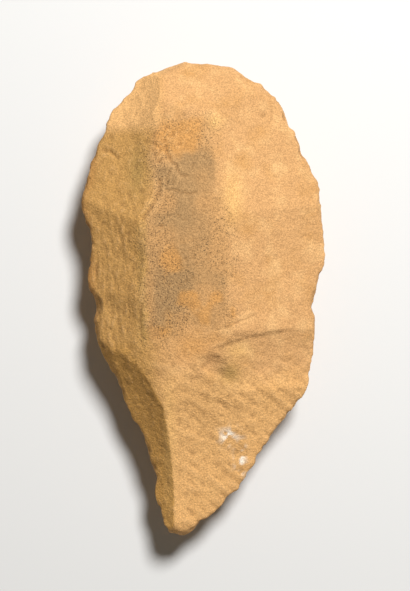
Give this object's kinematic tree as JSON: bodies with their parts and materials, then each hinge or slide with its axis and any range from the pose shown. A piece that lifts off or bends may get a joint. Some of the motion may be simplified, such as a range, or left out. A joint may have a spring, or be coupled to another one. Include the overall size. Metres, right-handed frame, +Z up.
{
  "type": "stone hand axe",
  "caption": "Almond-shaped hand axe of ochre sandstone, flaked on both faces to a worn edge and a narrow point.",
  "frame": {"origin": "on the ground it lies on, below the middle of the outline's length and width", "axes": "+Z up out of the upper face, +Y from the point to the butt, +X to the right of someone looking down on it with the point towards them"},
  "size_m": [0.0874, 0.17, 0.035],
  "materials": {
    "sandstone": "rough, matt, weathered"
  },
  "bodies": {
    "root": {"hand_axe": "sandstone"}
  },
  "joints": []
}
